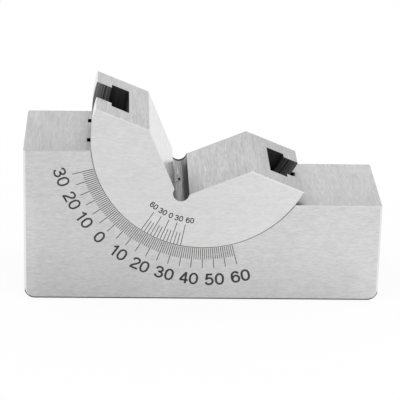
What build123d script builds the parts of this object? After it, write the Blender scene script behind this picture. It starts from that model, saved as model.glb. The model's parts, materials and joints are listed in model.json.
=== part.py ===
from build123d import *

import math
import os

# Tilting V block: a base block with a circular seat, and a V rocker that swivels in it.
# Millimetres. X runs along the base, Y from front to back, Z up.
# The origin is the middle of the base's underside.

# Overall
base_length = 75.0
block_width = 25.0         # both pieces, so their faces lie flush
floor_thickness = 11.9     # steel left under the seat
right_end_drop = 11.8      # the right end is this much lower than the left

# Rocker, from the V outwards to the rim
v_angle = 90.0
v_mouth = 23.2             # across the flats' inner edges
flat_drop = 2.1            # the flats lie this far below the pivot
relief_width = 3.4         # round-bottomed slot along the root of the V
relief_below_root = 0.4    # slot floor below the point where the V faces would meet
web_thickness = 2.2        # between the relief slot and the T-slot
head_height = 3.9          # T-slot, wide part
head_width = 13.8
lip_thickness = 3.4        # T-slot, lips on either side of the neck
neck_width = 10.0
rest_tilt = 22.5           # degrees, V leaning to the right

# Seat in the base
seat_clearance = 0.06      # radial, between rim and seat
rib_side_clearance = 0.1   # guide rib in the T-slot's neck
rib_top_clearance = 0.6    # guide rib below the inner face of the lips
groove_width = 2.2         # relief groove at each foot of the rib
groove_depth = 0.9

# Clamp nut and screw
nut_length = 6.4
nut_side_clearance = 0.15
nut_seat_clearance = 0.05
nut_lift_room = 0.5
nut_corner_break = 0.5
screw_diameter = 4.0
thread_clearance = 0.05
shank_clearance = 0.25
tip_setback = 0.1          # screw tip below the top of the nut
tip_break = 0.4
screw_head_diameter = 7.0
screw_head_height = 4.0
screw_head_break = 0.3
screw_head_recess = 0.6    # head below the underside of the base
counterbore_clearance = 0.5
key_size = 3.0             # hexagon socket, across flats
key_depth = 2.0

# Edges
foot_radius = 2.2          # lower end corners
outer_break = 0.45         # round the ends and the foot
top_break = 0.2            # top faces, flats and V
crest_break = 0.1          # across the rocker, along the flats' edges
seam_break = 0.09          # rim and seat, where the two front faces meet

# Sizes that follow
v_depth = v_mouth / 2 / math.tan(math.radians(v_angle / 2))
relief_floor = flat_drop + v_depth + relief_below_root
slot_floor_radius = relief_floor + web_thickness
step_radius = slot_floor_radius + head_height
rim_radius = step_radius + lip_thickness
seat_radius = rim_radius + seat_clearance
pivot_height = floor_thickness + seat_radius
left_height = pivot_height - flat_drop    # level with the flats when the V stands upright
right_height = left_height - right_end_drop
half_length = base_length / 2
half_width = block_width / 2
rib_width = neck_width - 2 * rib_side_clearance
counterbore_depth = screw_head_height + screw_head_recess
nut_top_radius = slot_floor_radius + nut_lift_room
nut_seat_radius = step_radius - nut_seat_clearance
screw_tip = pivot_height - nut_top_radius - tip_setback
past_edge = 1.0            # how far cutting tools run past a face
tolerance = 0.01           # for picking edges by their place

pivot = Location((0, 0, pivot_height))


def slab(outline, width):
    """Front-view outline, made solid across the given width about the middle plane."""
    return extrude(Plane.XZ * outline, amount=width / 2, both=True)


def disc(radius, width):
    """Cylinder about the pivot axis, placed at the origin."""
    return Cylinder(radius, width, rotation=(90, 0, 0))


def ring(inner_radius, outer_radius, width):
    return disc(outer_radius, width) - disc(inner_radius, width + past_edge)


def face_edges(solid):
    """Edges that lie in the front or back face."""
    return solid.edges().filter_by(lambda edge: half_width - abs(edge.center().Y) < tolerance)


def seam_edges(solid):
    """Large arcs of the front and back faces, where rim and seat meet."""
    arcs = face_edges(solid).filter_by(GeomType.CIRCLE)
    return arcs.filter_by(lambda edge: edge.radius > slot_floor_radius)


def cross_edges(solid, places):
    """Edges running from front to back through the given (x, z) places."""
    across = solid.edges().filter_by(Axis.Y)
    return [across.sort_by_distance((x, 0, z))[0] for x, z in places]


def stepped_outline():
    """Base seen from the front, before the seat is bored."""
    outline = make_face(
        Polyline(
            (-half_length, 0),
            (half_length, 0),
            (half_length, right_height),
            (0, right_height),
            (0, left_height),
            (-half_length, left_height),
            close=True,
        )
    )
    feet = outline.vertices().group_by(Axis.Y)[0]
    return fillet(feet, foot_radius)


def make_base():
    block = slab(stepped_outline(), block_width) - pivot * disc(seat_radius, block_width + past_edge)

    outer = face_edges(block).filter_by(lambda edge: abs(edge.center().X) + foot_radius > half_length)
    outer += face_edges(block).filter_by(Axis.X).filter_by(lambda edge: edge.center().Z < tolerance)
    block = chamfer(outer, outer_break)
    tops = face_edges(block).filter_by(Axis.X).filter_by(lambda edge: edge.center().Z > floor_thickness)
    block = chamfer(tops, top_break)
    ends = cross_edges(block, [(-half_length, left_height), (half_length, right_height)])
    block = chamfer(ends, top_break)
    block = chamfer(seam_edges(block), seam_break)

    rib = pivot * ring(step_radius + rib_top_clearance, seat_radius + groove_depth, rib_width)
    rib &= slab(stepped_outline(), rib_width)
    groove_ring = ring(seat_radius - past_edge, seat_radius + groove_depth, rib_width + 2 * groove_width)
    block = block - pivot * groove_ring + rib

    counterbore = Cylinder(
        screw_head_diameter / 2 + counterbore_clearance,
        counterbore_depth,
        align=(Align.CENTER, Align.CENTER, Align.MIN),
    )
    shank_hole = Cylinder(
        screw_diameter / 2 + shank_clearance,
        pivot_height - step_radius,
        align=(Align.CENTER, Align.CENTER, Align.MIN),
    )
    return block - counterbore - shank_hole


def rocker_outline():
    """Rocker seen from the front, upright, with the pivot at the origin."""
    chord = 2 * rim_radius
    below_flats = Pos(0, -flat_drop) * Rectangle(chord, chord, align=(Align.CENTER, Align.MAX))
    v_notch = make_face(
        Polyline(
            (-v_mouth / 2, -flat_drop),
            (0, -flat_drop - v_depth),
            (v_mouth / 2, -flat_drop),
            close=True,
        )
    )
    relief_radius = relief_width / 2
    relief_centre = Pos(0, relief_radius - relief_floor)
    relief = relief_centre * Circle(relief_radius)
    relief += relief_centre * Rectangle(relief_width, v_depth / 2, align=(Align.CENTER, Align.MIN))
    return Circle(rim_radius) & below_flats - v_notch - relief


def make_rocker():
    body = slab(rocker_outline(), block_width)

    straights = face_edges(body).filter_by(GeomType.LINE).filter_by(lambda edge: edge.length > relief_width)
    body = chamfer(straights, top_break)
    flat_tip = math.sqrt(rim_radius**2 - flat_drop**2)
    v_edge = v_mouth / 2
    crests = [(x, -flat_drop) for x in (-flat_tip, -v_edge, v_edge, flat_tip)]
    body = chamfer(cross_edges(body, crests), crest_break)
    body = chamfer(seam_edges(body), seam_break)

    t_slot = ring(slot_floor_radius, step_radius, head_width)
    t_slot += ring(slot_floor_radius, rim_radius + past_edge, neck_width)
    upright = body - t_slot
    return pivot * Rot(0, rest_tilt, 0) * upright


def make_nut():
    width = head_width - 2 * nut_side_clearance
    blank = Pos(0, 0, -step_radius) * Box(nut_length, width, 2 * head_height)
    blank = chamfer(blank.edges().filter_by(Axis.Z), nut_corner_break)
    nut = blank & ring(nut_top_radius, nut_seat_radius, width)
    bore = Cylinder(screw_diameter / 2 + thread_clearance, 2 * rim_radius)
    return pivot * (nut - bore)


def make_screw():
    head = Cylinder(
        screw_head_diameter / 2,
        screw_head_height,
        align=(Align.CENTER, Align.CENTER, Align.MIN),
    )
    head = chamfer(head.edges().group_by(Axis.Z)[0], screw_head_break)
    socket_outline = RegularPolygon(key_size / 2, 6, major_radius=False)
    head -= extrude(socket_outline, amount=key_depth)
    shank = Cylinder(
        screw_diameter / 2,
        screw_tip - counterbore_depth,
        align=(Align.CENTER, Align.CENTER, Align.MIN),
    )
    shank = chamfer(shank.edges().group_by(Axis.Z)[-1], tip_break)
    return Pos(0, 0, screw_head_recess) * (head + Pos(0, 0, screw_head_height) * shank)


os.makedirs("parts", exist_ok=True)
export_step(make_base(), "parts/base_block.step")
export_step(make_rocker(), "parts/v_rocker.step")
export_step(make_nut(), "parts/clamp_t_nut.step")
export_step(make_screw(), "parts/clamp_screw.step")
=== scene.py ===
import json
import math
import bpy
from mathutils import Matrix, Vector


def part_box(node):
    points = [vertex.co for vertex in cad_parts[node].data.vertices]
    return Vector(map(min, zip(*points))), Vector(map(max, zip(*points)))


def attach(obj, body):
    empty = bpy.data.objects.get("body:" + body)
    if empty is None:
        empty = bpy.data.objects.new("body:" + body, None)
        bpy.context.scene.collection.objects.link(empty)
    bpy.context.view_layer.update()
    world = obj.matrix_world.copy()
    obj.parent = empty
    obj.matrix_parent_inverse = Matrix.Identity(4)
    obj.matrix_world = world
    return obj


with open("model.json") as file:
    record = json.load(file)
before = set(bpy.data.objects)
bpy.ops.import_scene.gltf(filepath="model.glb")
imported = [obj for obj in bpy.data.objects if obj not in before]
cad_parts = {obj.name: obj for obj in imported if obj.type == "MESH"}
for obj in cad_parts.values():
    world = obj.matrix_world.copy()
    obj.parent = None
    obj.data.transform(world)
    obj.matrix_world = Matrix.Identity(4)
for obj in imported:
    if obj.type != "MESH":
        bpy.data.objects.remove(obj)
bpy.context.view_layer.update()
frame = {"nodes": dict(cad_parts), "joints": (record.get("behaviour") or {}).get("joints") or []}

from types import SimpleNamespace

import bmesh
import bpy
from mathutils import Matrix, Vector

mm = 0.001
white = (1, 1, 1, 1)
scene = bpy.context.scene
scene.view_settings.view_transform = "Standard"

# places taken from the frame
tiltJoint = next(joint for joint in frame["joints"] if joint["name"] == "rocker_tilt")
pivot = Vector(tiltJoint["pos_m"])
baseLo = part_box("base_block")[0]
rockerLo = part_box("v_rocker")[0]
rimRadius = pivot.z - rockerLo.z
frontY = baseLo.y
firstReading, lastReading = -30, 60         # on the base's scale, at the tilt joint's two stops
uprightReading = 45                         # with the V upright
restReading = firstReading - tiltJoint["range_deg"][0]
restTilt = uprightReading - restReading     # degrees, V leaning to the right
pivotMm = [round(part / mm, 3) for part in pivot]
print("frame: pivot", pivotMm, "rim", round(rimRadius / mm, 3), "reads", restReading)


# node tools

def putIn(tree, socket, value):
    if isinstance(value, bpy.types.NodeSocket):
        tree.links.new(value, socket)
    else:
        socket.default_value = value


def calc(tree, operation, first, second=0.5, third=0.0):
    node = tree.nodes.new("ShaderNodeMath")
    node.operation = operation
    for socket, value in zip(node.inputs, (first, second, third)):
        putIn(tree, socket, value)
    return node.outputs[0]


def above(tree, value, limit):
    return calc(tree, "GREATER_THAN", value, limit)


def below(tree, value, limit):
    return calc(tree, "LESS_THAN", value, limit)


def inside(tree, value, low, high):
    return calc(tree, "MULTIPLY", above(tree, value, low), below(tree, value, high))


def larger(tree, first, second):
    return calc(tree, "MAXIMUM", first, second)


def product(tree, result, *factors):
    for factor in factors:
        result = calc(tree, "MULTIPLY", result, factor)
    return result


def squares(tree, first, second):
    return calc(tree, "MULTIPLY_ADD", first, first, calc(tree, "MULTIPLY", second, second))


def lengthOf(tree, first, second):
    return calc(tree, "SQRT", squares(tree, first, second))


def vary(tree, pattern, middle, swing):
    # a pattern from 0 to 1 as the middle value, give or take half the swing
    return calc(tree, "MULTIPLY_ADD", calc(tree, "SUBTRACT", pattern, 0.5), swing, middle)


def shade(tree, tone, mask, share):
    # tone changed by this share of itself where the mask is 1
    return calc(tree, "MULTIPLY", tone, calc(tree, "MULTIPLY_ADD", mask, share, 1.0))


def fade(tree, value, start, end, low=0.0, high=1.0):
    node = tree.nodes.new("ShaderNodeMapRange")
    node.interpolation_type = "SMOOTHSTEP"
    putIn(tree, node.inputs["Value"], value)
    for name, number in (("From Min", start), ("From Max", end), ("To Min", low), ("To Max", high)):
        putIn(tree, node.inputs[name], number)
    return node.outputs["Result"]


def blendValue(tree, mask, under, over):
    node = tree.nodes.new("ShaderNodeMix")
    node.data_type = "FLOAT"
    putIn(tree, node.inputs[0], mask)
    putIn(tree, node.inputs[2], under)
    putIn(tree, node.inputs[3], over)
    return node.outputs[0]


def splitVector(tree, vector):
    node = tree.nodes.new("ShaderNodeSeparateXYZ")
    putIn(tree, node.inputs[0], vector)
    return node.outputs[0:3]


def joinVector(tree, x, y, z):
    node = tree.nodes.new("ShaderNodeCombineXYZ")
    for socket, value in zip(node.inputs, (x, y, z)):
        putIn(tree, socket, value)
    return node.outputs[0]


def noiseOf(tree, vector, scale, detail, roughness):
    node = tree.nodes.new("ShaderNodeTexNoise")
    putIn(tree, node.inputs["Vector"], vector)
    node.inputs["Scale"].default_value = scale
    node.inputs["Detail"].default_value = detail
    node.inputs["Roughness"].default_value = roughness
    return node.outputs["Fac"]


def stretchedNoise(tree, parts, scales, detail, roughness):
    # noise with a scale of its own along each part of the place
    scaled = [calc(tree, "MULTIPLY", part, scale) for part, scale in zip(parts, scales)]
    return noiseOf(tree, joinVector(tree, *scaled), 1.0, detail, roughness)


def newGroup(name, inputs, outputs):
    tree = bpy.data.node_groups.new(name, "ShaderNodeTree")
    for label, kind, value in inputs:
        socket = tree.interface.new_socket(label, in_out="INPUT", socket_type=kind)
        if value is not None:
            socket.default_value = value
    for label in outputs:
        tree.interface.new_socket(label, in_out="OUTPUT", socket_type="NodeSocketFloat")
    entry = tree.nodes.new("NodeGroupInput")
    leave = tree.nodes.new("NodeGroupOutput")
    return tree, entry.outputs, leave.inputs


def useGroup(tree, group, **values):
    node = tree.nodes.new("ShaderNodeGroup")
    node.node_tree = group
    for label, value in values.items():
        putIn(tree, node.inputs[label], value)
    return node.outputs


# finishes that several materials share

faceLimits = {"side": 0.7, "top": 0.9, "broken": (0.3, 0.9)}   # how far a face looks that way

grainFinish = {
    "across": 4200.0,                # noise scale across the grinding lines, for each metre
    "along": 300.0,
    "sideShorter": 3.2,              # lines of the front and back are this much shorter
    "lines": (1.0, 3.0, 0.62),       # scale, detail and roughness of the noise
    "bands": (0.27, 1.0, 0.5),
    "drift": (42.0, 2.0, 0.5),
    "bandSwing": 0.24,
    "driftSwing": 0.26,
}


def makeGroundGrain():
    # lines left by the grinding wheel: along X on the front and back, along Y on every other face
    look = grainFinish
    tree, given, out = newGroup(
        "groundGrain",
        [("Place", "NodeSocketVector", None), ("Facing", "NodeSocketVector", None),
         ("Across", "NodeSocketFloat", look["across"]), ("Along", "NodeSocketFloat", look["along"])],
        ["Tone", "Lines", "Side"],
    )
    side = above(tree, calc(tree, "ABSOLUTE", splitVector(tree, given["Facing"])[1]), faceLimits["side"])
    x, y, z = splitVector(tree, given["Place"])
    shorter = calc(tree, "MULTIPLY", given["Along"], look["sideShorter"])
    stretched = joinVector(
        tree,
        calc(tree, "MULTIPLY", x, blendValue(tree, side, given["Across"], shorter)),
        calc(tree, "MULTIPLY", y, blendValue(tree, side, given["Along"], given["Across"])),
        calc(tree, "MULTIPLY", z, given["Across"]),
    )
    lines = noiseOf(tree, stretched, *look["lines"])
    bands = noiseOf(tree, stretched, *look["bands"])
    drift = noiseOf(tree, given["Place"], *look["drift"])
    tone = calc(tree, "ADD", lines, vary(tree, bands, 0.0, look["bandSwing"]))
    tone = calc(tree, "ADD", tone, vary(tree, drift, 0.0, look["driftSwing"]))
    tree.links.new(tone, out["Tone"])
    tree.links.new(lines, out["Lines"])
    tree.links.new(side, out["Side"])
    return tree


marksFinish = {
    "smear": (95.0, 3.0, 0.6),       # scale, detail and roughness of the noise
    "smearFade": (0.46, 0.72),
    "hair": (1.0, 0.0, 0.5),
    "hairTurn": (0.5, 0.9, 0.3),     # lie of the scratches, radians
    "hairScale": (60.0, 60.0, 5200.0),
    "hairFade": (0.76, 0.84),
}


def makeHandlingMarks():
    # faint smears and a few hair scratches from being picked up and set down
    look = marksFinish
    tree, given, out = newGroup("handlingMarks", [("Place", "NodeSocketVector", None)], ["Smear", "Scratch"])
    smear = noiseOf(tree, given["Place"], *look["smear"])
    tree.links.new(fade(tree, smear, *look["smearFade"]), out["Smear"])
    mapping = tree.nodes.new("ShaderNodeMapping")
    mapping.inputs["Rotation"].default_value = look["hairTurn"]
    mapping.inputs["Scale"].default_value = look["hairScale"]
    tree.links.new(given["Place"], mapping.inputs["Vector"])
    hair = noiseOf(tree, mapping.outputs[0], *look["hair"])
    tree.links.new(fade(tree, hair, *look["hairFade"]), out["Scratch"])
    return tree


groundGrain = makeGroundGrain()
handlingMarks = makeHandlingMarks()
print("finishes: grain and handling marks ready")


def startMaterial(name):
    material = bpy.data.materials.new(name)
    material.use_nodes = True
    tree = material.node_tree
    coords = tree.nodes.new("ShaderNodeTexCoord")
    return material, tree, tree.nodes["Principled BSDF"], coords.outputs


def addBump(tree, shader, height, strength, depth):
    bump = tree.nodes.new("ShaderNodeBump")
    bump.inputs["Strength"].default_value = strength
    bump.inputs["Distance"].default_value = depth
    tree.links.new(height, bump.inputs["Height"])
    tree.links.new(bump.outputs["Normal"], shader.inputs["Normal"])


def localPlace(tree, coords, tilt):
    # millimetres from the pivot, turned with the rocker, and the way that the unturned face looks
    node = tree.nodes.new("ShaderNodeMapping")
    node.vector_type = "TEXTURE"
    node.inputs["Location"].default_value = pivot
    node.inputs["Rotation"].default_value = (0, math.radians(tilt), 0)
    node.inputs["Scale"].default_value = (mm, mm, mm)
    tree.links.new(coords["Object"], node.inputs["Vector"])
    across, depth, up = splitVector(tree, node.outputs[0])
    faceX, faceY, faceZ = splitVector(tree, coords["Normal"])
    return SimpleNamespace(
        across=across, depth=depth, up=up,
        radius=lengthOf(tree, across, up), offAxis=calc(tree, "ABSOLUTE", depth),
        faceX=faceX, faceY=faceY, faceZ=faceZ,
    )


groundFinish = {"roughnessSwing": 0.14, "smearRoughness": 0.05, "bump": (0.35, 0.012 * mm)}


def groundRoughness(tree, grain, marks, middle):
    rough = vary(tree, grain["Lines"], middle, groundFinish["roughnessSwing"])
    return calc(tree, "ADD", rough, calc(tree, "MULTIPLY", marks["Smear"], groundFinish["smearRoughness"]))


# base block, places in mm from the pivot where nothing else is said

baseFinish = {
    # reflectance
    "face": 0.622,                          # front and back
    "other": 0.555,                         # tops, ends and underside
    "endBreak": 0.80,                       # broken edges down the ends, painted bright as an edge highlight
    "footBreak": (-22.0, -31.0, 0.09, 0.035),   # painted shade on the edge round the foot: two places and the tone at each
    "groove": 0.035,                        # painted shade in the relief grooves at the foot of the guide rib
    "seam": 0.50,                           # broken edge along the seat
    "drilled": 0.30,                        # counterbore and shank hole
    "faceSwing": 0.50,                      # grain, from the darkest to the brightest line
    "otherSwing": 0.74,
    "drilledSwing": 0.2,
    "roughness": 0.38,
    # faces, as shares of their tone
    "towardsLowEnd": 0.0016,                # painted light, brighter towards the low end, for each mm
    "shadedTowardsFoot": (-2.0, 15.0, 0.925, 1.02),   # painted shade, darker towards the foot: two heights above the foot and the share of the tone at each
    "smear": -0.03,
    "scratch": -0.05,
    # broken edges, told apart by the way they look
    "endFacing": (0.1, 0.4),
    "footFacing": (-0.45, -0.66),
    "cornerFacing": (-0.06, -0.2),
    "cornerOffAxis": 12.3,
    "topFacing": (0.45, 0.66),
    # painted shade on the top's broken edges at the high end
    "topBreakHighEnd": -0.2,
    # seat
    "seatClearance": 0.06,
    "grooveFromSeat": (0.03, 1.1),
    "grooveOffAxis": 7.15,
    "grooveMouthShade": {"fromSeat": (0.85, 1.1), "offAxis": (4.9, 7.1)},   # painted shade at the low end of each groove
    "seamFromSeat": 0.1,
    "seamOffAxis": 12.4,
    # tops: painted shade beside the rocker, brighter towards the back, and a painted sheen at the high end
    "darkPatch": [
        {"end": "low", "share": -0.85, "fromSeat": (2.1, 0.4), "depth": (-9.0, -12.0)},
        {"end": "low", "share": -0.16, "fromSeat": (6.0, 0.0), "depth": (-3.0, -10.0)},
        {"end": "low", "share": -0.09, "fromSeat": (2.4, 1.0), "depth": (8.5, 6.5)},
        {"end": "high", "share": -0.18, "fromSeat": (1.3, 0.4), "depth": (4.5, 0.5)},
    ],
    "towardsBack": 0.0055,                  # for each mm
    # painted shade on the tops beside the rim, stronger at the high end
    "besideRimHighEnd": -0.16,
    "besideRimLowEnd": -0.08,
    "besideRimFromSeat": (5.0, 0.5),
    # painted sheen on the top at the high end
    "topSheen": 0.07,
    "topSheenAcross": (-34.0, -36.3),
    # front and back, brighter towards both ends
    "faceEndsShare": 0.05,
    "faceEndsPlaces": [
        {"across": (-34.0, -36.0), "up": (-9.6, -14.6)},
        {"across": (31.0, 34.5), "up": (-25.0, -28.5)},
    ],
    # drilled holes
    "drilledRadius": 4.04,
    "drilledFromFoot": (0.02, 11.9),
    "drilledRings": ((1.0, 0.0, 9.0), 2.0, 0.6),   # scales, detail and roughness of the noise
}


def baseFaces(tree, at, grain, marks):
    look = baseFinish
    tone = blendValue(tree, grain["Side"], look["other"], look["face"])
    # painted light, brighter towards the low end
    tone = shade(tree, tone, at.across, look["towardsLowEnd"])
    # painted shade on the front and back, darker towards the foot
    shadedTowardsFoot = fade(tree, at.fromFoot, *look["shadedTowardsFoot"])
    swing = blendValue(tree, grain["Side"], look["otherSwing"], look["faceSwing"])
    spread = vary(tree, grain["Tone"], 1.0, swing)
    tone = product(tree, tone, blendValue(tree, grain["Side"], 1.0, shadedTowardsFoot), spread)
    tone = shade(tree, tone, marks["Smear"], look["smear"])
    return shade(tree, tone, marks["Scratch"], look["scratch"])


def baseEdges(tree, at, tone):
    look = baseFinish
    broken = inside(tree, calc(tree, "ABSOLUTE", at.faceY), *faceLimits["broken"])
    ends = product(tree, broken, fade(tree, calc(tree, "ABSOLUTE", at.faceX), *look["endFacing"]))
    foot = product(tree, broken, fade(tree, at.faceZ, *look["footFacing"]))
    corners = product(
        tree,
        broken,
        fade(tree, at.faceZ, *look["cornerFacing"]),
        below(tree, at.offAxis, look["cornerOffAxis"]),
    )
    # painted shade on the top's broken edges at the high end
    tops = product(tree, broken, fade(tree, at.faceZ, *look["topFacing"]), below(tree, at.across, 0.0))
    tone = shade(tree, tone, tops, look["topBreakHighEnd"])
    # painted highlight on the broken edges down the ends
    tone = blendValue(tree, ends, tone, look["endBreak"])
    # painted shade on the broken edges round the foot and up its corners
    footEdgeShade = fade(tree, at.across, *look["footBreak"])
    return blendValue(tree, larger(tree, foot, corners), tone, footEdgeShade)


def baseSeat(tree, at, tone):
    look = baseFinish
    # painted shade in the relief grooves
    groove = product(
        tree,
        inside(tree, at.fromSeat, *look["grooveFromSeat"]),
        below(tree, at.offAxis, look["grooveOffAxis"]),
        below(tree, at.faceZ, faceLimits["top"]),
    )
    tone = blendValue(tree, groove, tone, look["groove"])
    byFace = above(tree, at.offAxis, look["seamOffAxis"])
    seam = product(tree, below(tree, at.fromSeat, look["seamFromSeat"]), byFace)
    return blendValue(tree, seam, tone, look["seam"])


def baseTops(tree, at, tone):
    look = baseFinish
    top = above(tree, at.faceZ, faceLimits["top"])
    lowEnd = above(tree, at.across, 0.0)
    ends = {"low": lowEnd, "high": calc(tree, "SUBTRACT", 1.0, lowEnd)}
    # painted shade on the tops beside the rocker
    for darkPatch in look["darkPatch"]:
        nearSeat = fade(tree, at.fromSeat, *darkPatch["fromSeat"])
        nearFront = fade(tree, at.depth, *darkPatch["depth"])
        tone = shade(tree, tone, product(tree, top, ends[darkPatch["end"]], nearSeat, nearFront), darkPatch["share"])
    tone = shade(tree, tone, product(tree, top, at.depth), look["towardsBack"])
    # painted shade on the tops beside the rocker's rim
    besideRim = product(tree, top, fade(tree, at.fromSeat, *look["besideRimFromSeat"]))
    rimShadeShare = blendValue(tree, lowEnd, look["besideRimHighEnd"], look["besideRimLowEnd"])
    tone = shade(tree, tone, besideRim, rimShadeShare)
    # painted sheen on the top at the high end
    brightPatch = product(tree, top, fade(tree, at.across, *look["topSheenAcross"]))
    tone = shade(tree, tone, brightPatch, look["topSheen"])
    # painted shade at the low end of each groove
    grooveMouthShade = product(
        tree,
        top,
        lowEnd,
        inside(tree, at.fromSeat, *look["grooveMouthShade"]["fromSeat"]),
        inside(tree, at.offAxis, *look["grooveMouthShade"]["offAxis"]),
    )
    return blendValue(tree, grooveMouthShade, tone, look["groove"])


def baseBrighterFaceEnds(tree, at, side, tone):
    ends = [
        product(tree, fade(tree, at.across, *end["across"]), fade(tree, at.up, *end["up"]))
        for end in baseFinish["faceEndsPlaces"]
    ]
    brightPatch = product(tree, side, larger(tree, *ends))
    return shade(tree, tone, brightPatch, baseFinish["faceEndsShare"])


def baseHoles(tree, at, tone):
    look = baseFinish
    bore = lengthOf(tree, at.across, at.depth)
    inFloor = inside(tree, at.fromFoot, *look["drilledFromFoot"])
    drilled = product(tree, below(tree, bore, look["drilledRadius"]), inFloor)
    rings = stretchedNoise(tree, (bore, 0.0, at.up), *look["drilledRings"])
    return blendValue(tree, drilled, tone, vary(tree, rings, look["drilled"], look["drilledSwing"]))


def makeBaseGround():
    material, tree, shader, coords = startMaterial("baseGround")
    grain = useGroup(tree, groundGrain, Place=coords["Object"], Facing=coords["Normal"])
    marks = useGroup(tree, handlingMarks, Place=coords["Object"])
    at = localPlace(tree, coords, 0.0)
    at.fromSeat = calc(tree, "SUBTRACT", at.radius, rimRadius / mm + baseFinish["seatClearance"])
    at.fromFoot = calc(tree, "ADD", at.up, pivot.z / mm)
    tone = baseFaces(tree, at, grain, marks)
    tone = baseEdges(tree, at, tone)
    tone = baseSeat(tree, at, tone)
    tone = baseTops(tree, at, tone)
    tone = baseBrighterFaceEnds(tree, at, grain["Side"], tone)
    tone = baseHoles(tree, at, tone)
    tree.links.new(tone, shader.inputs["Base Color"])
    shader.inputs["Metallic"].default_value = 1.0
    rough = groundRoughness(tree, grain, marks, baseFinish["roughness"])
    tree.links.new(rough, shader.inputs["Roughness"])
    addBump(tree, shader, grain["Lines"], *groundFinish["bump"])
    return material


# V rocker, places in mm from the pivot with the V upright

rockerFinish = {
    # reflectance
    "face": 0.70,                           # front and back, ground brighter than the base
    "other": 0.535,                         # flats and right V face
    "leftV": 0.73,                          # painted highlight, brighter than the other V face; the face is also finer ground
    # painted highlight: the rim brighter than the other faces
    "rim": 0.86,
    "faceSwing": 0.36,                      # grain, from the darkest to the brightest line
    "otherSwing": 1.00,
    "fineSwing": 0.52,                      # left V face and rim
    "roughness": 0.36,
    "leftVRoughness": 0.23,
    # faces, as shares of their tone
    "towardsLowEnd": 1.6,                   # painted light on the front and back, brighter towards the low end, for each metre along the base
    "smear": -0.02,
    "scratch": -0.04,
    "leftVFacing": 0.8,
    "rimDepth": 0.08,
    "rimOffAxis": 12.42,
    # front edge of the right side, broken, with painted shade
    "frontBreak": -0.24,
    "frontBreakFacing": (-0.9, -0.3),
    "frontBreakUp": -2.3,
    # right flat, and right V face with broad bands where the wheel crossed it
    "rightFlatAcross": 11.0,
    "rightFlat": (11.5, 15.0, 1.02, 0.925),   # two places and the share of the tone at each
    "rightTipDarker": [                          # darker towards the tip, on the front lip
        {"share": -0.09, "across": (17.0, 20.5), "depth": (-5.5, -8.0)},
        {"share": -0.13, "across": (20.0, 21.5), "depth": (-8.0, -6.5)},
    ],
    "flatUp": -2.2,                         # between the flats and the V faces
    "rightVAcross": 1.72,
    "rightVBands": ((2.0, 0.10, 0.0), 2.0, 0.6),   # scales, detail and roughness of the noise
    "rightVMiddle": 1.01,
    "rightVSwing": 0.32,
    "rightVUp": (-4.0, -9.0, 1.0, 1.055),   # painted light, lighter towards the root: two places and the share of the tone at each
    "rightVDepth": (-7.0, -12.4, 1.0, 0.94),
    "root": -0.28,                          # painted shade towards the relief slot
    "rootAcross": 1.65,
    "rootUp": (-8.6, -12.2),
    "rootDepth": (4.0, -10.0),
    # round-bottomed slot at the root of the V
    "relief": {
        # painted shade: the slot darker than the faces
        "tone": 0.31,
        "shadeTone": 0.018,                 # under the right wall
        "darkTone": 0.008,                  # painted shade at the far end and in the pit
        "darkRoughness": 0.95,
        "centreUp": -12.4,
        "radius": 1.73,
        "topUp": -11.93,
        "streaks": ((6.5, 0.13, 1.0), 3.0, 0.65),   # scales, detail and roughness of the noise
        "streakSwing": 3.4,
        "leftWall": (0.6, -1.3, 1.0, 1.5),  # two places and the share of the tone at each
        "frontEnd": (-12.0, 6.0, 0.74, 1.0),
        "shadeAcross": (0.75, 1.5),
        "shadeDepth": (13.0, 3.0, 0.35, 1.0),
        "farEndDepth": 11.5,
        "pitPlace": (0.55, 0.45),           # across and depth
        "pitHalf": (0.30, 0.80),
        "pitFade": (1.25, 0.6),             # squared distances from the pit's middle, in its half sizes
        "specks": ((2.6, 0.9, 1.0), 1.0, 0.5),
        "speckFade": (0.36, 0.52, 0.45, 1.1),
        "speckReach": (22.0, 4.0),          # measured as the pit is
    },
    # T-slot round the rim, with turning lines about the pivot, and painted shade that darkens it
    "slot": {
        "head": 0.066,
        "headOffAxis": 6.93,
        "headRadius": (16.26, 20.22),
        "headSwing": 1.4,
        "neck": 0.17,
        "neckOffAxis": 5.03,
        "neckRadius": 20.18,
        "neckSwing": 6.0,
        "neckAcross": (-12.0, 12.0, 1.0, 0.5),      # two places and the share of the tone at each
        # painted shade below the step and on the right, painted highlight at the mouth
        "neckStep": (20.4, 21.8, 0.72, 1.0),
        "neckMouth": (22.2, 23.5, 1.0, 1.6),
        "turned": ((2.4, 0.0, 0.4), 2.0, 0.65),     # scales, detail and roughness of the noise
        "roughness": 0.62,
    },
}


def rockerFaces(tree, at, grain, marks, leftV, alongBase):
    look = rockerFinish
    tone = blendValue(tree, grain["Side"], look["other"], look["face"])
    # painted highlight on the left V face
    tone = blendValue(tree, leftV, tone, look["leftV"])
    # painted highlight on the rim
    atRim = above(tree, at.radius, rimRadius / mm - look["rimDepth"])
    rim = product(tree, atRim, below(tree, at.offAxis, look["rimOffAxis"]))
    tone = blendValue(tree, rim, tone, look["rim"])
    swing = blendValue(tree, grain["Side"], look["otherSwing"], look["faceSwing"])
    swing = blendValue(tree, larger(tree, leftV, rim), swing, look["fineSwing"])
    tone = product(tree, tone, vary(tree, grain["Tone"], 1.0, swing))
    # painted light, brighter towards the low end
    tone = shade(tree, tone, product(tree, alongBase, grain["Side"]), look["towardsLowEnd"])
    tone = shade(tree, tone, marks["Smear"], look["smear"])
    return shade(tree, tone, marks["Scratch"], look["scratch"])


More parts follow.
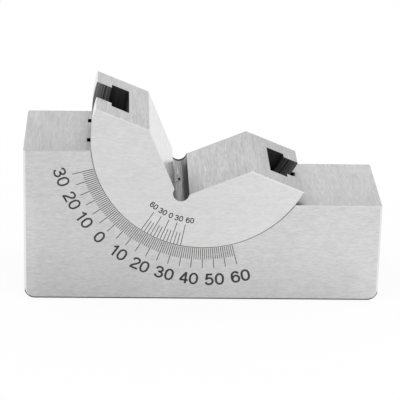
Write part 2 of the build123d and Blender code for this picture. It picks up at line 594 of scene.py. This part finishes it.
def rockerRightSide(tree, at, flatFaces, tone):
    look = rockerFinish
    # painted shade on the broken front edge of the right side
    frontBreak = product(
        tree,
        above(tree, at.across, 0.0),
        below(tree, at.up, look["frontBreakUp"]),
        inside(tree, at.faceY, *look["frontBreakFacing"]),
    )
    tone = shade(tree, tone, frontBreak, look["frontBreak"])
    # painted shade on the right V face towards the relief slot
    root = product(
        tree,
        above(tree, at.across, look["rootAcross"]),
        fade(tree, at.up, *look["rootUp"]),
        fade(tree, at.depth, *look["rootDepth"]),
        flatFaces,
    )
    tone = shade(tree, tone, root, look["root"])
    beyondV = above(tree, at.across, look["rightFlatAcross"])
    rightFlat = product(tree, beyondV, above(tree, at.up, look["flatUp"]), flatFaces)
    tone = product(tree, tone, blendValue(tree, rightFlat, 1.0, fade(tree, at.across, *look["rightFlat"])))
    frontLip = product(tree, rightFlat, below(tree, at.depth, 0.0))
    for darkPatch in look["rightTipDarker"]:
        nearTip = product(tree, fade(tree, at.across, *darkPatch["across"]), fade(tree, at.depth, *darkPatch["depth"]))
        tone = shade(tree, tone, product(tree, frontLip, nearTip), darkPatch["share"])
    besideRelief = above(tree, at.across, look["rightVAcross"])
    rightV = product(tree, besideRelief, below(tree, at.up, look["flatUp"]), flatFaces)
    bands = stretchedNoise(tree, (at.across, at.depth, at.up), *look["rightVBands"])
    # wheel bands, with painted light towards the root and darker along the front edge
    bandsAndPaintedLight = product(
        tree,
        vary(tree, bands, look["rightVMiddle"], look["rightVSwing"]),
        fade(tree, at.up, *look["rightVUp"]),
        fade(tree, at.depth, *look["rightVDepth"]),
    )
    return product(tree, tone, blendValue(tree, rightV, 1.0, bandsAndPaintedLight))


def rockerRelief(tree, at, flatFaces):
    look = rockerFinish["relief"]
    inRound = calc(tree, "SUBTRACT", calc(tree, "MINIMUM", at.up, look["centreUp"]), look["centreUp"])
    fromMiddle = lengthOf(tree, at.across, inRound)
    relief = product(
        tree, below(tree, fromMiddle, look["radius"]), below(tree, at.up, look["topUp"]), flatFaces
    )
    # streaked along its length, with painted shade: darker at the front end, under its right wall and at the
    # far end, and painted light on its left wall
    parts = (at.across, at.depth, at.up)
    tone = product(
        tree,
        vary(tree, stretchedNoise(tree, parts, *look["streaks"]), 1.0, look["streakSwing"]),
        look["tone"],
        fade(tree, at.across, *look["leftWall"]),
        fade(tree, at.depth, *look["frontEnd"]),
    )
    underWall = product(
        tree, fade(tree, at.across, *look["shadeAcross"]), fade(tree, at.depth, *look["shadeDepth"])
    )
    tone = blendValue(tree, underWall, tone, look["shadeTone"])
    farEnd = above(tree, at.depth, look["farEndDepth"])
    tone = blendValue(tree, farEnd, tone, look["darkTone"])
    # a small pit in its floor, painted dark as shade, with specks round it
    offsets = [
        calc(tree, "DIVIDE", calc(tree, "SUBTRACT", part, middle), half)
        for part, middle, half in zip(parts, look["pitPlace"], look["pitHalf"])
    ]
    fromPit = squares(tree, *offsets)
    specks = fade(tree, stretchedNoise(tree, parts, *look["specks"]), *look["speckFade"])
    tone = product(tree, tone, blendValue(tree, fade(tree, fromPit, *look["speckReach"]), 1.0, specks))
    pit = fade(tree, fromPit, *look["pitFade"])
    tone = blendValue(tree, pit, tone, look["darkTone"])
    return relief, tone, product(tree, relief, larger(tree, farEnd, pit))


def rockerSlot(tree, at, tone):
    look = rockerFinish["slot"]
    turned = stretchedNoise(tree, (at.radius, 0.0, at.depth), *look["turned"])
    # painted shade in the neck, darker on the right and below the step, with a painted highlight at its mouth
    neckTone = product(
        tree,
        vary(tree, turned, 1.0, look["neckSwing"]),
        look["neck"],
        fade(tree, at.across, *look["neckAcross"]),
        fade(tree, at.radius, *look["neckStep"]),
        fade(tree, at.radius, *look["neckMouth"]),
    )
    # painted shade in the head
    headTone = product(tree, vary(tree, turned, 1.0, look["headSwing"]), look["head"])
    beyondStep = above(tree, at.radius, look["neckRadius"])
    neck = product(tree, below(tree, at.offAxis, look["neckOffAxis"]), beyondStep)
    belowStep = inside(tree, at.radius, *look["headRadius"])
    head = product(tree, below(tree, at.offAxis, look["headOffAxis"]), belowStep)
    tone = blendValue(tree, neck, tone, neckTone)
    tone = blendValue(tree, head, tone, headTone)
    return larger(tree, neck, head), tone


def makeRockerGround():
    material, tree, shader, coords = startMaterial("rockerGround")
    grain = useGroup(tree, groundGrain, Place=coords["Object"], Facing=coords["Normal"])
    marks = useGroup(tree, handlingMarks, Place=coords["Object"])
    at = localPlace(tree, coords, restTilt)
    alongBase = splitVector(tree, coords["Object"])[0]
    leftV = above(tree, at.faceX, rockerFinish["leftVFacing"])
    flatFaces = calc(tree, "SUBTRACT", 1.0, grain["Side"])
    tone = rockerFaces(tree, at, grain, marks, leftV, alongBase)
    tone = rockerRightSide(tree, at, flatFaces, tone)
    relief, reliefTone, dark = rockerRelief(tree, at, flatFaces)
    tone = blendValue(tree, relief, tone, reliefTone)
    slot, tone = rockerSlot(tree, at, tone)
    tree.links.new(tone, shader.inputs["Base Color"])
    tree.links.new(calc(tree, "SUBTRACT", 1.0, dark), shader.inputs["Metallic"])
    rough = groundRoughness(tree, grain, marks, rockerFinish["roughness"])
    rough = blendValue(tree, leftV, rough, rockerFinish["leftVRoughness"])
    rough = blendValue(tree, slot, rough, rockerFinish["slot"]["roughness"])
    rough = blendValue(tree, dark, rough, rockerFinish["relief"]["darkRoughness"])
    tree.links.new(rough, shader.inputs["Roughness"])
    addBump(tree, shader, grain["Lines"], *groundFinish["bump"])
    return material


# clamp nut, hidden in the T-slot for most of the travel

nutFinish = {
    "tone": 0.40,
    "swing": 0.50,                   # grain, from the darkest to the brightest line
    "smear": -0.2,
    "grainAlong": 500.0,
    "roughness": 0.42,
    "roughnessSwing": 0.2,
    "bump": (0.5, 0.02 * mm),
}


def makeNutMachined():
    look = nutFinish
    material, tree, shader, coords = startMaterial("nutMachined")
    grain = useGroup(
        tree, groundGrain, Place=coords["Object"], Facing=coords["Normal"], Along=look["grainAlong"]
    )
    marks = useGroup(tree, handlingMarks, Place=coords["Object"])
    tone = product(tree, vary(tree, grain["Tone"], 1.0, look["swing"]), look["tone"])
    tone = shade(tree, tone, marks["Smear"], look["smear"])
    tree.links.new(tone, shader.inputs["Base Color"])
    shader.inputs["Metallic"].default_value = 1.0
    rough = vary(tree, grain["Lines"], look["roughness"], look["roughnessSwing"])
    tree.links.new(rough, shader.inputs["Roughness"])
    addBump(tree, shader, grain["Lines"], *look["bump"])
    return material


# clamp screw, seen only from below

screwFinish = {
    "tone": 0.030,
    "toneSwing": 1.1,
    "mottle": (900.0, 3.0, 0.6),     # scale, detail and roughness of the noise
    "roughness": 0.48,
    "roughnessSwing": 0.2,
    "worn": 0.20,                    # tone of the rubbed places
    "wear": 0.8,                     # how far they are rubbed
    "pitch": 0.7 * mm,
    "shankUp": 5.0 * mm,
    "shankRadius": 2.05 * mm,
    "crest": (0.3, 0.95),
    "rubbedUp": 1.0 * mm,            # rim of the head
    "rubbedRadius": (3.05 * mm, 3.35 * mm),
    "rubbedPatches": (0.38, 0.62),
    "mottleHeight": 0.15,
    "threadHeight": 0.5,
    "bump": (0.8, 0.3 * mm),
}


def makeScrewBlackened():
    look = screwFinish
    material, tree, shader, coords = startMaterial("screwBlackened")
    x, y, z = splitVector(tree, coords["Object"])
    fromAxis = lengthOf(tree, x, y)
    mottle = noiseOf(tree, coords["Object"], *look["mottle"])
    # thread shown as fine rings on the shank, rubbed bright on the crests
    rise = calc(tree, "MULTIPLY", z, 2 * math.pi / look["pitch"])
    helix = calc(tree, "SINE", calc(tree, "ADD", rise, calc(tree, "ARCTAN2", y, x)))
    onShank = below(tree, fromAxis, look["shankRadius"])
    shank = product(tree, above(tree, z, look["shankUp"]), onShank)
    crest = product(tree, shank, fade(tree, helix, *look["crest"]))
    rubbed = product(
        tree,
        below(tree, z, look["rubbedUp"]),
        fade(tree, fromAxis, *look["rubbedRadius"]),
        fade(tree, mottle, *look["rubbedPatches"]),
    )
    tone = product(tree, vary(tree, mottle, 1.0, look["toneSwing"]), look["tone"])
    worn = product(tree, larger(tree, crest, rubbed), look["wear"])
    tree.links.new(blendValue(tree, worn, tone, look["worn"]), shader.inputs["Base Color"])
    shader.inputs["Metallic"].default_value = 1.0
    rough = vary(tree, mottle, look["roughness"], look["roughnessSwing"])
    tree.links.new(rough, shader.inputs["Roughness"])
    thread = product(tree, shank, helix, look["threadHeight"])
    height = calc(tree, "ADD", product(tree, mottle, look["mottleHeight"]), thread)
    addBump(tree, shader, height, *look["bump"])
    return material


# dark filling of the engraved lines and figures, a little uneven

markFinish = {
    "tone": 0.027,
    "toneSwing": 0.03,
    "patches": (700.0, 3.0, 0.6),    # scale, detail and roughness of the noise
    "roughness": 0.545,
    "roughnessSwing": 0.25,
    "bump": (0.3, 0.006 * mm),
}


def makeMarkFill():
    look = markFinish
    material, tree, shader, coords = startMaterial("markFill")
    patches = noiseOf(tree, coords["Object"], *look["patches"])
    tree.links.new(vary(tree, patches, look["tone"], look["toneSwing"]), shader.inputs["Base Color"])
    rough = vary(tree, patches, look["roughness"], look["roughnessSwing"])
    tree.links.new(rough, shader.inputs["Roughness"])
    addBump(tree, shader, patches, *look["bump"])
    return material


def dress(node, material):
    mesh = frame["nodes"][node].data
    mesh.materials.clear()
    mesh.materials.append(material)


dress("base_block", makeBaseGround())
dress("v_rocker", makeRockerGround())
dress("clamp_t_nut", makeNutMachined())
dress("clamp_screw", makeScrewBlackened())
markFill = makeMarkFill()
print("materials: base, rocker, nut, screw and mark fill ready")


# lines of the scale and the vernier

def dialPlace(angle, radius):
    # mark's own X runs round the dial, Y towards the pivot, Z out of the front face
    phi = math.radians(angle)
    around = Vector((math.cos(phi), 0, math.sin(phi)))
    inward = Vector((-math.sin(phi), 0, math.cos(phi)))
    outOfFace = Vector((0, -1, 0))
    matrix = Matrix((around, inward, outOfFace)).transposed().to_4x4()
    matrix.translation = Vector((pivot.x, frontY, pivot.z)) - inward * radius
    return matrix


markDepth = {"thick": 0.06 * mm, "proud": 0.01 * mm}


def addTick(shape, angle, inner, outer, width):
    # one engraved line, a shallow bar let into the face
    middle = markDepth["proud"] - markDepth["thick"] / 2
    size = Matrix.Diagonal((width, outer - inner, markDepth["thick"], 1))
    place = dialPlace(angle, (inner + outer) / 2) @ Matrix.Translation((0, 0, middle)) @ size
    bmesh.ops.create_cube(shape, size=1.0, matrix=place)


def finishPiece(name, shape, body):
    bmesh.ops.recalc_face_normals(shape, faces=shape.faces)
    mesh = bpy.data.meshes.new(name)
    shape.to_mesh(mesh)
    shape.free()
    mesh.materials.append(markFill)
    piece = bpy.data.objects.new(name, mesh)
    scene.collection.objects.link(piece)
    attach(piece, body)


baseScale = {
    "zeroAngle": -uprightReading,    # degrees round the dial from straight down
    "longEvery": 5,
    "inner": rimRadius + 0.16 * mm,
    "short": {"outer": 26.3 * mm, "width": 0.134 * mm},
    "long": {"outer": 28.3 * mm, "width": 0.15 * mm},
}
vernierScale = {
    "steps": 6,                      # on either side of zero
    "stepAngle": 11 / 6,             # degrees, six steps to eleven of the scale
    "longEvery": 3,
    "outer": rimRadius - 0.1 * mm,
    "short": {"inner": 20.75 * mm, "width": 0.145 * mm},
    "long": {"inner": 18.75 * mm, "width": 0.145 * mm},
}


def makeBaseLines():
    ticks = bmesh.new()
    for reading in range(firstReading, lastReading + 1):
        line = baseScale["long" if reading % baseScale["longEvery"] == 0 else "short"]
        angle = reading + baseScale["zeroAngle"]
        addTick(ticks, angle, baseScale["inner"], line["outer"], line["width"])
    finishPiece("base_scale_lines", ticks, "base")


def makeVernierLines():
    ticks = bmesh.new()
    for step in range(-vernierScale["steps"], vernierScale["steps"] + 1):
        line = vernierScale["long" if step % vernierScale["longEvery"] == 0 else "short"]
        angle = step * vernierScale["stepAngle"] - restTilt
        addTick(ticks, angle, line["inner"], vernierScale["outer"], line["width"])
    finishPiece("vernier_lines", ticks, "rocker")


makeBaseLines()
makeVernierLines()
print("scale: lines cut on base and rocker")


# figures drawn as single strokes in a box one unit high, joined smoothly or as straight runs

figureStrokes = {
    "0": [
        ("loop", [(0.32, 0.94), (0.14, 0.83), (0.07, 0.5), (0.14, 0.17),
                  (0.32, 0.06), (0.50, 0.17), (0.57, 0.5), (0.50, 0.83)]),
    ],
    "1": [
        ("straight", [(0.46, 0.0), (0.46, 1.0)]),
        ("smooth", [(0.44, 0.95), (0.35, 0.84), (0.21, 0.755)]),
    ],
    "2": [
        ("smooth", [(0.10, 0.71), (0.15, 0.87), (0.33, 0.94), (0.49, 0.88), (0.545, 0.73),
                    (0.49, 0.58), (0.33, 0.41), (0.16, 0.24), (0.075, 0.066)]),
        ("straight", [(0.02, 0.066), (0.61, 0.066)]),
    ],
    "3": [
        ("smooth", [(0.085, 0.74), (0.15, 0.88), (0.31, 0.94), (0.47, 0.88), (0.525, 0.74),
                    (0.46, 0.60), (0.25, 0.535)]),
        ("smooth", [(0.25, 0.535), (0.48, 0.48), (0.57, 0.29), (0.49, 0.12), (0.31, 0.06),
                    (0.14, 0.12), (0.07, 0.27)]),
    ],
    "4": [
        ("straight", [(0.445, 0.0), (0.445, 1.0)]),
        ("straight", [(0.43, 0.95), (0.065, 0.32)]),
        ("straight", [(0.02, 0.295), (0.62, 0.295)]),
    ],
    "5": [
        ("straight", [(0.55, 0.93), (0.155, 0.93)]),
        ("straight", [(0.195, 0.99), (0.115, 0.46)]),
        ("smooth", [(0.11, 0.49), (0.20, 0.58), (0.33, 0.61), (0.50, 0.54), (0.57, 0.335),
                    (0.49, 0.13), (0.31, 0.06), (0.14, 0.12), (0.075, 0.26)]),
    ],
    "6": [
        ("smooth", [(0.545, 0.75), (0.48, 0.89), (0.345, 0.94), (0.17, 0.85), (0.085, 0.64),
                    (0.075, 0.42), (0.11, 0.22), (0.20, 0.10), (0.335, 0.06), (0.50, 0.13),
                    (0.57, 0.325), (0.51, 0.53), (0.345, 0.61), (0.17, 0.53), (0.085, 0.36)]),
    ],
}
figureForm = {
    # from one figure to the next, in figure sizes
    "advance": {"0": 0.80, "1": 0.76, "2": 0.74, "3": 0.785, "4": 0.745, "5": 0.795, "6": 0.775},
    "width": 0.64,
    "stretch": 1.08,
    "curveSteps": 5,
    "bevelSteps": 1,
    "mergeDistance": 1e-8,
}


def figureMesh(text, stroke):
    # strokes of the text, centred, as one mesh with flat-cut ends
    curve = bpy.data.curves.new("figure", "CURVE")
    curve.dimensions = "3D"
    curve.resolution_u = figureForm["curveSteps"]
    curve.bevel_depth = stroke / 2
    curve.bevel_resolution = figureForm["bevelSteps"]
    curve.use_fill_caps = True
    steps = [figureForm["advance"][figure] for figure in text]
    start = -(sum(steps[:-1]) + figureForm["width"] * figureForm["stretch"]) / 2
    for index, figure in enumerate(text):
        left = start + sum(steps[:index])
        for manner, points in figureStrokes[figure]:
            handles = "VECTOR" if manner == "straight" else "AUTO"
            spline = curve.splines.new("BEZIER")
            spline.bezier_points.add(len(points) - 1)
            for knot, (x, y) in zip(spline.bezier_points, points):
                knot.co = (left + x * figureForm["stretch"], y - 0.5, 0)
                knot.handle_left_type = knot.handle_right_type = handles
            spline.use_cyclic_u = manner == "loop"
    drawn = bpy.data.objects.new("figure", curve)
    scene.collection.objects.link(drawn)
    bpy.context.view_layer.update()
    mesh = bpy.data.meshes.new_from_object(drawn)
    bpy.data.objects.remove(drawn)
    bpy.data.curves.remove(curve)
    return mesh


def makeFigures(name, figures, turned, body):
    labels = figures["labels"]
    wide, tall = figures["size"]
    thin, bold = figures["stroke"]
    shape = bmesh.new()
    for index, (text, angle, radius) in enumerate(labels):
        stroke = thin + (bold - thin) * index / (len(labels) - 1)
        mesh = figureMesh(text, stroke)
        flat = Matrix.Diagonal((wide, tall, markDepth["proud"] / (stroke / 2), 1))
        lean = figures["lean"] + figures["leanByAngle"] * angle
        upright = Matrix.Rotation(math.radians(lean), 4, "Z")
        mesh.transform(dialPlace(angle - turned, radius * mm) @ upright @ flat)
        shape.from_mesh(mesh)
        bpy.data.meshes.remove(mesh)
    bmesh.ops.remove_doubles(shape, verts=shape.verts, dist=figureForm["mergeDistance"])
    finishPiece(name, shape, body)


# each label with its angle in degrees from straight down and its radius in mm
baseFigures = {
    "labels": [
        ("30", -74.95, 30.65), ("20", -64.35, 30.4), ("10", -55.25, 30.4), ("0", -45.45, 30.45),
        ("10", -35.75, 30.5), ("20", -25.4, 30.6), ("30", -15.2, 30.55), ("40", -5.25, 30.7),
        ("50", 4.85, 30.9), ("60", 15.1, 31.1),
    ],
    "size": (2.76 * mm, 2.58 * mm),  # across and up
    "lean": -1.9,                    # degrees from square to the radius
    "leanByAngle": -0.085,
    "stroke": (0.145, 0.174),        # first and last label, in figure sizes
}
vernierFigures = {
    "labels": [
        ("60", -13.6, 17.55), ("30", -6.2, 17.65), ("0", -0.1, 17.7), ("30", 5.75, 17.7),
        ("60", 13.35, 17.65),
    ],
    "size": (1.19 * mm, 1.19 * mm),
    "lean": 1.0,
    "leanByAngle": 0.3,
    "stroke": (0.185, 0.185),
}

makeFigures("base_scale_figures", baseFigures, 0.0, "base")
makeFigures("vernier_figures", vernierFigures, restTilt, "rocker")
print("scale: figures set on base and rocker")


# studio: white floor and surround, soft lamps

studio = {
    "surround": 1.0,                 # seen by the camera and in reflections
    "ambient": 1.0,                  # light that the surround gives otherwise
    "floorSize": 6.0,
    "floorColour": (0.92, 0.92, 0.92, 1),
    "floorShadow": 0.11,             # share of real light and shadow in the floor, as the camera sees it
    "floorMirrored": 0.75,           # the same share as seen in reflections
    "lampTarget": (0, 0, 15 * mm),
    "lamps": [
        {"name": "softTopLeft", "place": (-0.45, -0.55, 0.75), "size": 0.7, "power": 0.9},
        {"name": "softRight", "place": (0.75, -0.35, 0.45), "size": 0.6, "power": 0.7},
    ],
}


def mirroredRays(tree, path):
    return larger(tree, path["Is Glossy Ray"], path["Is Transmission Ray"])


def makeSurround():
    world = bpy.data.worlds.new("studioSurround")
    world.use_nodes = True
    tree = world.node_tree
    background = tree.nodes["Background"]
    background.inputs["Color"].default_value = white
    path = tree.nodes.new("ShaderNodeLightPath").outputs
    seen = larger(tree, path["Is Camera Ray"], mirroredRays(tree, path))
    strength = blendValue(tree, seen, studio["ambient"], studio["surround"])
    tree.links.new(strength, background.inputs["Strength"])
    scene.world = world


def makeFloorWhite():
    # matt floor mixed with an even white glow for what the camera and reflections see
    material = bpy.data.materials.new("floorWhite")
    material.use_nodes = True
    tree = material.node_tree
    tree.nodes.remove(tree.nodes["Principled BSDF"])
    matt = tree.nodes.new("ShaderNodeBsdfDiffuse")
    matt.inputs["Color"].default_value = studio["floorColour"]
    glow = tree.nodes.new("ShaderNodeEmission")
    glow.inputs["Color"].default_value = white
    path = tree.nodes.new("ShaderNodeLightPath").outputs
    seen = calc(tree, "MULTIPLY", path["Is Camera Ray"], 1.0 - studio["floorShadow"])
    share = calc(tree, "MULTIPLY_ADD", mirroredRays(tree, path), 1.0 - studio["floorMirrored"], seen)
    mix = tree.nodes.new("ShaderNodeMixShader")
    tree.links.new(share, mix.inputs[0])
    tree.links.new(matt.outputs[0], mix.inputs[1])
    tree.links.new(glow.outputs[0], mix.inputs[2])
    tree.links.new(mix.outputs[0], tree.nodes["Material Output"].inputs["Surface"])
    return material


def makeFloor():
    shape = bmesh.new()
    bmesh.ops.create_grid(shape, x_segments=1, y_segments=1, size=studio["floorSize"] / 2)
    mesh = bpy.data.meshes.new("floor")
    shape.to_mesh(mesh)
    shape.free()
    mesh.materials.append(makeFloorWhite())
    floor = bpy.data.objects.new("floor", mesh)
    scene.collection.objects.link(floor)


def makeLamps():
    target = Vector(studio["lampTarget"])
    for lamp in studio["lamps"]:
        light = bpy.data.lights.new(lamp["name"], "AREA")
        light.shape = "SQUARE"
        light.size = lamp["size"]
        light.energy = lamp["power"]
        holder = bpy.data.objects.new(lamp["name"], light)
        holder.location = lamp["place"]
        holder.rotation_euler = (target - Vector(lamp["place"])).to_track_quat("-Z", "Y").to_euler()
        scene.collection.objects.link(holder)


makeSurround()
makeFloor()
makeLamps()
print("studio: floor, surround and lamps ready")


# camera at the photograph's viewing angle

photoCamera = {
    "place": (-17.237 * mm, -417.925 * mm, 183.814 * mm),
    "yaw": -2.3221,                  # degrees
    "pitch": 21.6505,
    "roll": 1.3625,
    "lens": 188.609,
    "sensor": 36.0,
    "near": 0.01,
    "far": 20.0,
}


def makeCamera():
    yaw, pitch, roll = (math.radians(photoCamera[name]) for name in ("yaw", "pitch", "roll"))
    level = Vector((-math.sin(yaw), math.cos(yaw), 0))
    forward = level * math.cos(pitch) - Vector((0, 0, math.sin(pitch)))
    right = Vector((math.cos(yaw), math.sin(yaw), 0))
    up = right.cross(forward)
    turnedRight = right * math.cos(roll) + up * math.sin(roll)
    turnedUp = up * math.cos(roll) - right * math.sin(roll)
    data = bpy.data.cameras.new("photoCamera")
    data.lens = photoCamera["lens"]
    data.sensor_fit = "HORIZONTAL"
    data.sensor_width = photoCamera["sensor"]
    data.clip_start = photoCamera["near"]
    data.clip_end = photoCamera["far"]
    camera = bpy.data.objects.new("photoCamera", data)
    matrix = Matrix((turnedRight, turnedUp, -forward)).transposed().to_4x4()
    matrix.translation = Vector(photoCamera["place"])
    camera.matrix_world = matrix
    scene.collection.objects.link(camera)
    scene.camera = camera


makeCamera()
print("camera: set")
